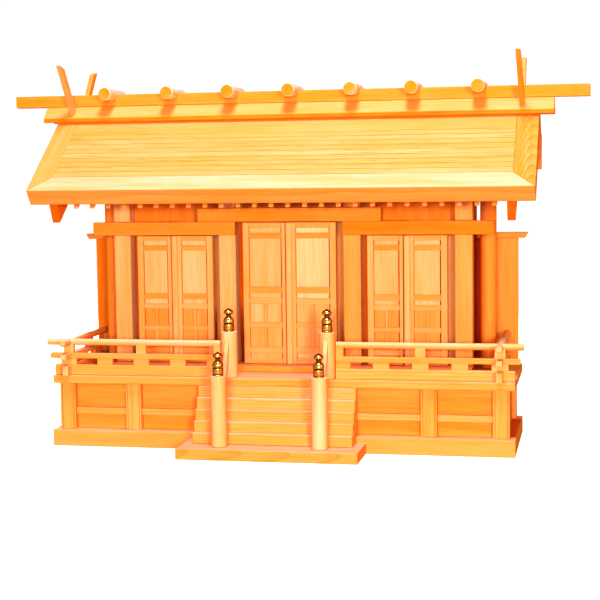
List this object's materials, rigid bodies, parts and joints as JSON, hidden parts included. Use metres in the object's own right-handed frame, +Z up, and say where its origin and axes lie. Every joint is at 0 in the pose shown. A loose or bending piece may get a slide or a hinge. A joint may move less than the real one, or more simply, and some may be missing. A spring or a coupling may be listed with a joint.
{
  "type": "kamidana",
  "caption": "Miniature Shinto house shrine of plain wood: a long gabled roof with ridge logs and forked finials over paired hinged doors, a railed veranda and a stair with brass-capped newels.",
  "frame": {"origin": "middle of the bounding box's bottom face, on the surface that the shrine stands on", "axes": "+X along the front, to the right as seen from the front; -Y towards the viewer in front of the stair; +Z up"},
  "size_m": [0.8, 0.2686, 0.5175],
  "materials": {
    "cypress": "planed, unvarnished",
    "pale_cypress": "planed, unvarnished",
    "giboshi_brass": "polished"
  },
  "bodies": {
    "shrine": {"plinth": "cypress", "lower_storey": "cypress", "deck": "cypress", "stair_base": "cypress", "stair": "cypress", "newel_front_left": "pale_cypress", "newel_front_right": "pale_cypress", "newel_upper_left": "pale_cypress", "newel_upper_right": "pale_cypress", "giboshi_front_left": "giboshi_brass", "giboshi_front_right": "giboshi_brass", "giboshi_upper_left": "giboshi_brass", "giboshi_upper_right": "giboshi_brass", "handrail_left": "pale_cypress", "handrail_right": "pale_cypress", "railing_left": "cypress", "railing_right": "cypress", "hall_floor": "cypress", "post_corner_left": "pale_cypress", "post_corner_right": "pale_cypress", "post_centre_left": "pale_cypress", "post_centre_right": "pale_cypress", "column_left": "cypress", "column_right": "cypress", "front_wall": "cypress", "side_wall_left": "cypress", "side_wall_right": "cypress", "partition_left": "cypress", "partition_right": "cypress", "back_wall": "cypress", "lintel_left": "cypress", "lintel_right": "cypress", "lintel_centre": "cypress", "wing_screen_left": "cypress", "wing_screen_right": "cypress", "ceiling": "cypress", "eaves": "cypress", "gable_left": "cypress", "gable_right": "cypress", "roof_front": "cypress", "roof_rear": "cypress", "ridge_cap": "pale_cypress", "ridge_beam": "cypress", "ridge_log_1": "pale_cypress", "ridge_log_2": "pale_cypress", "ridge_log_3": "pale_cypress", "ridge_log_4": "pale_cypress", "ridge_log_5": "pale_cypress", "ridge_log_6": "pale_cypress", "ridge_log_7": "pale_cypress", "chigi_front_left": "pale_cypress", "chigi_front_right": "pale_cypress", "chigi_rear_left": "pale_cypress", "chigi_rear_right": "pale_cypress"},
    "door_left_l": {"door_left_l": "pale_cypress"},
    "door_left_r": {"door_left_r": "pale_cypress"},
    "door_centre_l": {"door_centre_l": "pale_cypress"},
    "door_centre_r": {"door_centre_r": "pale_cypress"},
    "door_right_l": {"door_right_l": "pale_cypress"},
    "door_right_r": {"door_right_r": "pale_cypress"}
  },
  "joints": [
    {"name": "door_left_l_hinge", "type": "hinge", "parent": "shrine", "child": "door_left_l", "pos_m": [-0.2102, 0.03015, 0.19], "axis": [0, 0, 1], "range_deg": [-100, 0]},
    {"name": "door_left_r_hinge", "type": "hinge", "parent": "shrine", "child": "door_left_r", "pos_m": [-0.1117, 0.03015, 0.19], "axis": [0, 0, 1], "range_deg": [0, 100]},
    {"name": "door_centre_l_hinge", "type": "hinge", "parent": "shrine", "child": "door_centre_l", "pos_m": [-0.06, 0.03015, 0.199], "axis": [0, 0, 1], "range_deg": [-100, 0]},
    {"name": "door_centre_r_hinge", "type": "hinge", "parent": "shrine", "child": "door_centre_r", "pos_m": [0.06, 0.03015, 0.199], "axis": [0, 0, 1], "range_deg": [0, 100]},
    {"name": "door_right_l_hinge", "type": "hinge", "parent": "shrine", "child": "door_right_l", "pos_m": [0.1117, 0.03015, 0.19], "axis": [0, 0, 1], "range_deg": [-100, 0]},
    {"name": "door_right_r_hinge", "type": "hinge", "parent": "shrine", "child": "door_right_r", "pos_m": [0.2102, 0.03015, 0.19], "axis": [0, 0, 1], "range_deg": [0, 100]}
  ]
}
